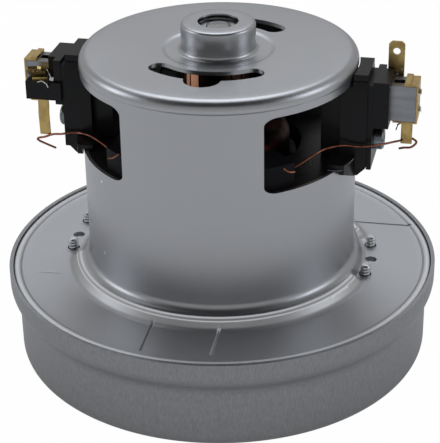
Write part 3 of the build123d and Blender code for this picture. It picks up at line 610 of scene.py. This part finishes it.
def studMesh(name, place, degrees):
    angle = np.arange(stud["around"]) * 2 * math.pi / stud["around"]
    z = np.linspace(stud["floor"], stud["tip"], stud["rows"])[:, None]
    turn = (z / stud["pitch"] - angle[None] / (2 * math.pi)) % 1
    thread = stud["crest"] * (1 - np.abs(2 * turn - 1)) * smoothStep(0, 0.6, stud["tip"] - z)
    shrink = stud["taper"] * (1 - smoothStep(0, 0.5, stud["tip"] - z))
    radius = stud["radius"] + thread - shrink
    head = stud["floor"] - stud["headHeight"]
    ends = [(0.01, stud["tip"] + 0.02)]
    foot = [(stud["headRadius"], stud["floor"] - 0.02), (stud["headRadius"], head + 0.4),
            (stud["headRadius"] - 0.5, head), (0.01, head)]
    radius = np.concatenate([np.full((1, len(angle)), r) for r, _ in ends] + [radius[::-1]]
                            + [np.full((1, len(angle)), r) for r, _ in foot])
    height = np.concatenate([[[h]] for _, h in ends] + [z[::-1]] + [[[h]] for _, h in foot])
    x = place * math.cos(math.radians(degrees)) + radius * np.cos(angle)
    y = place * math.sin(math.radians(degrees)) + radius * np.sin(angle)
    return gridMesh(name, np.stack([x, y, height + 0 * radius], 2) * mm, False, True)


# Small tinned ears beside the terminals and on the end clips, bent from strip
ears = dict(
    rightFoot=([(50.0, 4.9, 88.3), (50.6, 4.8, 89.3), (51.6, 4.9, 89.9), (52.6, 4.8, 90.9)], 1.1),
    rightEdgeTop=([(58.0, -1.6, 88.6), (58.5, -1.2, 88.0), (58.5, -1.0, 86.6), (58.1, -0.8, 85.9)], 1.0),
    rightEdgeLow=([(58.1, 0.4, 82.4), (58.5, 0.6, 81.8), (58.5, 0.6, 80.6), (58.1, 0.8, 80.0)], 0.9),
    leftBack=([(-49.8, 7.9, 86.6), (-49.4, 8.0, 88.0), (-48.8, 8.0, 89.6), (-48.0, 8.0, 90.2)], 1.6),
    leftFoot=([(-52.4, -8.7, 84.9), (-51.0, -8.9, 85.4), (-49.9, -8.7, 84.6), (-49.5, -8.6, 83.4)], 1.0),
    leftSide=([(-49.9, -6.6, 88.4), (-49.2, -6.9, 87.2), (-48.6, -7.2, 86.0), (-48.8, -7.4, 85.0)], 1.2),
)


def stripMesh(name, points, width, thick=0.25, perSpan=8):
    # p(s, k) = c(s) + the corners of a flat strip across the smooth curve c
    points = np.array(points, float)
    share = np.linspace(0, len(points) - 1, perSpan * (len(points) - 1) + 1)
    index = np.minimum(share.astype(int), len(points) - 2)
    t = smoothStep(0, 1, share - index)[:, None]
    centre = points[index] * (1 - t) + points[index + 1] * t
    tangent = np.gradient(centre, axis=0)
    tangent /= np.linalg.norm(tangent, axis=1)[:, None]
    side = np.cross(tangent, np.array([0.2, 0.1, 0.97]))
    side /= np.linalg.norm(side, axis=1)[:, None]
    facing = np.cross(side, tangent)
    corners = [(-1, -1), (1, -1), (1, 1), (-1, 1)]
    rings = [centre + side * a * width / 2 + facing * b * thick / 2 for a, b in corners]
    rows = np.stack(rings, 1)
    first, last = (row.mean(1, keepdims=True).repeat(4, 1) for row in (rows[:1], rows[-1:]))
    rows = np.concatenate([first, rows, last])
    mesh = gridMesh(name, rows * mm, False, True)
    soft = bmesh.new()
    soft.from_mesh(mesh)
    bmesh.ops.remove_doubles(soft, verts=soft.verts, dist=1e-6)
    bmesh.ops.recalc_face_normals(soft, faces=soft.faces)
    soft.to_mesh(mesh)
    soft.free()
    return mesh


for name, (points, width) in ears.items():
    addPiece(name, stripMesh(name, points, width), brightZinc, "frame")

for count, (place, degrees) in enumerate(stud["places"], 1):
    addPiece(f"bracketScrew{count}", studMesh("stud", place, degrees), brightZinc, "frame",
             [f"bracket_screw_{count}"], 50)
print("bracket screws threaded")

# Field leads, from the coil through the window to the clip on each side
leads = dict(
    radius=0.33, strandRadius=0.16,
    rightEnd=[(24.2, -28.6, 73.1), (25.0, -28.0, 72.1), (25.9, -27.1, 71.3), (27.2, -25.8, 70.9)],
    leftEnd=[(-26.7, -26.3, 70.5), (-24.6, -28.2, 71.7), (-23.2, -29.4, 73.0), (-21.9, -30.3, 74.2)],
    strandOne=[(54.2, 4.8, 77.0), (53.6, 4.8, 75.4), (52.7, 4.9, 74.2), (51.6, 5.0, 73.6)],
    strandTwo=[(53.4, 4.6, 77.4), (52.6, 4.7, 75.2), (51.8, 4.8, 73.2), (51.4, 5.0, 71.8)],
    right=[(20.6, -21.5, 66.6), (24.0, -21.0, 68.3), (27.5, -20.0, 70.6), (30.3, -17.2, 71.9),
           (33.4, -13.4, 72.7), (37.9, -10.2, 72.8), (42.0, -9.3, 72.4), (44.6, -9.2, 72.6),
           (49.0, -6.0, 72.2), (51.6, 1.5, 69.8),
           (52.8, 5.6, 68.4), (54.6, 7.6, 68.5), (56.3, 7.4, 68.4), (57.4, 6.4, 67.8), (56.0, 5.9, 66.4),
           (53.9, 5.8, 66.1), (52.3, 6.0, 65.6)],
    left=[(-21.6, -26.6, 68.6), (-24.6, -24.4, 69.4), (-26.6, -21.6, 70.4), (-28.5, -20.0, 70.7),
          (-32.1, -16.0, 70.5), (-36.4, -12.0, 70.3), (-40.4, -9.2, 69.6), (-43.0, -9.0, 69.5),
          (-46.0, -9.0, 68.8), (-49.4, -7.4, 67.7), (-52.0, -7.2, 66.6), (-53.8, -6.8, 66.0),
          (-54.7, -6.4, 65.4), (-54.4, -6.0, 64.6), (-52.4, -6.4, 64.0), (-48.7, -7.0, 63.0)],
)


def tubeAlong(name, points, radius, around=12, perSpan=10):
    # p(s, a) = c(s) + radius (cos a n(s) + sin a b(s)), c a smooth curve through the points
    points = np.array(points, float)
    padded = np.concatenate([2 * points[:1] - points[1:2], points, 2 * points[-1:] - points[-2:-1]])
    t = np.linspace(0, 1, perSpan, endpoint=False)[:, None]
    spans = []
    for a, b, c, d in zip(padded, padded[1:], padded[2:], padded[3:]):
        spans.append(b + 0.5 * t * (c - a) + t ** 2 * (a - 2.5 * b + 2 * c - 0.5 * d)
                     + t ** 3 * 0.5 * (3 * b - a - 3 * c + d))
    centre = np.concatenate(spans + [points[-1:]])
    tangent = np.gradient(centre, axis=0)
    tangent /= np.linalg.norm(tangent, axis=1)[:, None]
    normal = np.cross(tangent, np.array([0.31, 0.17, 0.93]))
    normal /= np.linalg.norm(normal, axis=1)[:, None]
    binormal = np.cross(tangent, normal)
    angle = np.arange(around) * 2 * math.pi / around
    ringOf = np.cos(angle)[None, :, None] * normal[:, None] + np.sin(angle)[None, :, None] * binormal[:, None]
    taper = np.ones(len(centre))
    taper[[0, -1]] = 0.02  # closes the ends
    points = centre[:, None] + ringOf * radius * taper[:, None, None]
    mesh = gridMesh(name, points * mm, False, True)
    soft = bmesh.new()
    soft.from_mesh(mesh)
    bmesh.ops.recalc_face_normals(soft, faces=soft.faces)
    soft.to_mesh(mesh)
    soft.free()
    return mesh


for side in ("right", "left"):
    node = f"field_lead_{side}"
    addPiece(f"fieldLead_{side}", tubeAlong(node, leads[side], leads["radius"]),
             leadCopper, "frame", [node])
    addPiece(f"fieldLeadEnd_{side}", tubeAlong(node + "End", leads[side + "End"], leads["radius"]),
             leadCopper, "frame")
for name in ("strandOne", "strandTwo"):
    addPiece(name, tubeAlong(name, leads[name], leads["strandRadius"]),
             blackMoulding, "frame")

# a painted highlight along the lower edge of the right holder, as a fine pale bead
rib = dict(points=[(34.4, -15.6, 67.2), (38.4, -15.7, 67.45), (39.9, -13.2, 68.2), (41.4, -10.2, 69.0)],
           radius=0.11, around=8)
addPiece("highlightBead", tubeAlong("highlightBead", rib["points"], rib["radius"], rib["around"]), highlightMoulding,
         "frame")
print("field leads made")

# Floor, lights and camera
stage = dict(
    floorHalf=4.0, floorDrop=0.0002, floorWhite=0.8, backgroundShare=0.985, floorGloss=0.08,
    worldGloss=0.42, worldGrey=0.30,
    # each lamp: x, y, z, its size and its power
    backLight=(-0.11, 0.42, 0.85, 0.8, 2.3), frontLight=(0.25, -0.9, 0.8, 0.6, 2.5),
    leftLight=(-0.9, -0.15, 0.5, 0.5, 1.2), rightLight=(0.9, 0.05, 0.5, 0.5, 1.2),
    lightColour=(0.91, 0.955, 1.03), lightAim=(0.0, 0.0, 0.05),
    shadeRadius=1.5, shadeAzimuth=13.0, shadeReach=100.0,
    shadeStops=[(0.0, 0.0), (0.05, 0.0), (0.30, 0.1), (0.46, 1.0), (0.89, 1.0), (1.0, 0.0)],
    shadeSide=(0.22, 0.75), shadeHalf=2.4,
)


def seenDirectly(finish, gloss):
    # 1 for a ray that shows the background: from the camera or through glass, and a share from gloss
    path = finish.tree.nodes.new("ShaderNodeLightPath")
    camera, glossy, clear = (Sock(finish, path.outputs[key]) for key in (
        "Is Camera Ray", "Is Glossy Ray", "Is Transmission Ray"))
    return finish.maths("MINIMUM", camera + clear + glossy * gloss, 1.0)


def makeFloor():
    # a flat square just under the part, which shows as the pale background
    share = np.linspace(-stage["floorHalf"], stage["floorHalf"], 3)
    x, y = np.meshgrid(share, share)
    mesh = gridMesh("floor", np.stack([x, y, np.full_like(x, -stage["floorDrop"])], 2), False, False)
    floor = bpy.data.objects.new("floor", mesh)
    bpy.context.collection.objects.link(floor)
    finish = Finish("paleFloor", (stage["floorWhite"],) * 3, 0.9)
    glow = finish.node("ShaderNodeEmission", {}, {"Color": (1, 1, 1, 1), "Strength": 1.0})
    plain = Sock(finish, finish.surface.outputs[0])
    mixed = finish.node("ShaderNodeMixShader", {}, {
        0: seenDirectly(finish, stage["floorGloss"]) * stage["backgroundShare"], 1: plain, 2: glow})
    finish.tree.links.new(mixed.socket, finish.tree.nodes["Material Output"].inputs[0])
    mesh.materials.append(finish.material)


makeFloor()

world = bpy.data.worlds.new("studio")
bpy.context.scene.world = world
world.use_nodes = True
sky = Finish.__new__(Finish)
sky.tree = world.node_tree
back = sky.tree.nodes["Background"]
back.inputs["Color"].default_value = (1, 1, 1, 1)
share = (stage["worldGloss"] - stage["worldGrey"]) / (1 - stage["worldGrey"])
sky.feed(back.inputs["Strength"], seenDirectly(sky, share) * (1 - stage["worldGrey"]) + stage["worldGrey"])


def areaLight(name):
    # a round lamp aimed at the lower half of the part
    x, y, z, size, power = stage[name]
    lamp = bpy.data.lights.new(name, "AREA")
    lamp.shape, lamp.size, lamp.energy, lamp.color = "DISK", size, power, stage["lightColour"]
    holder = bpy.data.objects.new(name, lamp)
    bpy.context.collection.objects.link(holder)
    holder.location = (x, y, z)
    aim = Vector(stage["lightAim"]) - Vector((x, y, z))
    holder.rotation_euler = aim.to_track_quat("-Z", "Y").to_euler()
    return holder


for name in ("backLight", "leftLight", "rightLight"):
    areaLight(name)
areaLight("frontLight").visible_glossy = False  # only fills the plastics, no metal mirrors it


def makeShade():
    # a grey curved screen above the camera, which only the gloss of the object sees; its
    # density follows the height along its arc, and its sides fade out
    columns, rows = 37, 31
    side = np.linspace(-1, 1, columns)[None]
    climb = np.radians(np.linspace(0, stage["shadeReach"], rows))[:, None]
    turn = math.radians(stage["shadeAzimuth"])
    x, y, z = side * stage["shadeHalf"], -np.cos(climb) + 0 * side, np.sin(climb) + 0 * side
    points = np.stack([x * math.cos(turn) - y * math.sin(turn),
                       x * math.sin(turn) + y * math.cos(turn), z], 2)
    mesh = gridMesh("shade", points * stage["shadeRadius"], False, False)
    place = mesh.uv_layers.new(name="place")
    corners = np.zeros(len(mesh.loops), int)
    mesh.loops.foreach_get("vertex_index", corners)
    spot = np.stack([corners % columns / (columns - 1), corners // columns / (rows - 1)], 1)
    place.data.foreach_set("uv", spot.astype(np.float32).ravel())
    shade = bpy.data.objects.new("shade", mesh)
    bpy.context.collection.objects.link(shade)
    finish = Finish("shadeCloth", (0.02, 0.02, 0.02), 1.0)
    where = finish.node("ShaderNodeUVMap", {"uv_map": "place"}, {})
    parts = finish.node("ShaderNodeSeparateXYZ", {}, {0: where})
    across, up = (Sock(finish, parts.socket.node.outputs[index]) for index in (0, 1))
    density = finish.node("ShaderNodeValToRGB", {"stops": stage["shadeStops"]}, {"Fac": up})
    low, high = stage["shadeSide"]
    sideFade = finish.node("ShaderNodeMapRange", {"interpolation_type": "SMOOTHSTEP"}, {
        "Value": finish.maths("ABSOLUTE", across * 2 - 1), "From Min": low, "From Max": high,
        "To Min": 1.0, "To Max": 0.0})
    clear = finish.node("ShaderNodeBsdfTransparent", {}, {})
    dark = finish.node("ShaderNodeEmission", {}, {"Color": (0.01, 0.01, 0.011, 1), "Strength": 1.0})
    mixed = finish.node("ShaderNodeMixShader", {}, {0: density * sideFade, 1: clear, 2: dark})
    finish.tree.links.new(mixed.socket, finish.tree.nodes["Material Output"].inputs[0])
    mesh.materials.append(finish.material)
    for kind in ("camera", "diffuse", "transmission", "volume_scatter", "shadow"):
        setattr(shade, "visible_" + kind, False)


makeShade()

# The camera, fitted to the outlines of the fan cover, can and boss in the photograph
view = dict(azimuth=13.0, elevation=26.05, distance=0.45995, aim=0.055, side=-0.00053,
            pitch=27.78, yaw=0.013, roll=1.004, focal=1531.74, longSide=443)


def makeCamera():
    lens = bpy.data.cameras.new("camera")
    lens.sensor_width, lens.sensor_fit = 36.0, "AUTO"
    lens.lens = view["focal"] * lens.sensor_width / view["longSide"]
    lens.clip_start, lens.clip_end = 0.01, 20
    camera = bpy.data.objects.new("camera", lens)
    bpy.context.collection.objects.link(camera)
    elevation, pitch, yaw, roll = (math.radians(view[key]) for key in ("elevation", "pitch", "yaw", "roll"))
    spot = Vector((view["side"], -view["distance"] * math.cos(elevation),
                   view["aim"] + view["distance"] * math.sin(elevation)))
    forward = Vector((math.sin(yaw) * math.cos(pitch), math.cos(yaw) * math.cos(pitch), -math.sin(pitch)))
    level = Vector((math.cos(yaw), -math.sin(yaw), 0))
    upward = level.cross(forward)
    right = math.cos(roll) * level - math.sin(roll) * upward
    up = math.sin(roll) * level + math.cos(roll) * upward
    turned = Matrix((right, up, -forward)).transposed().to_4x4()
    aroundShaft = Matrix.Rotation(math.radians(view["azimuth"]), 4, "Z")
    camera.matrix_world = aroundShaft @ Matrix.Translation(spot) @ turned
    bpy.context.scene.camera = camera


makeCamera()
bpy.context.scene.view_settings.view_transform = "Standard"
print("stage, lights and camera set")
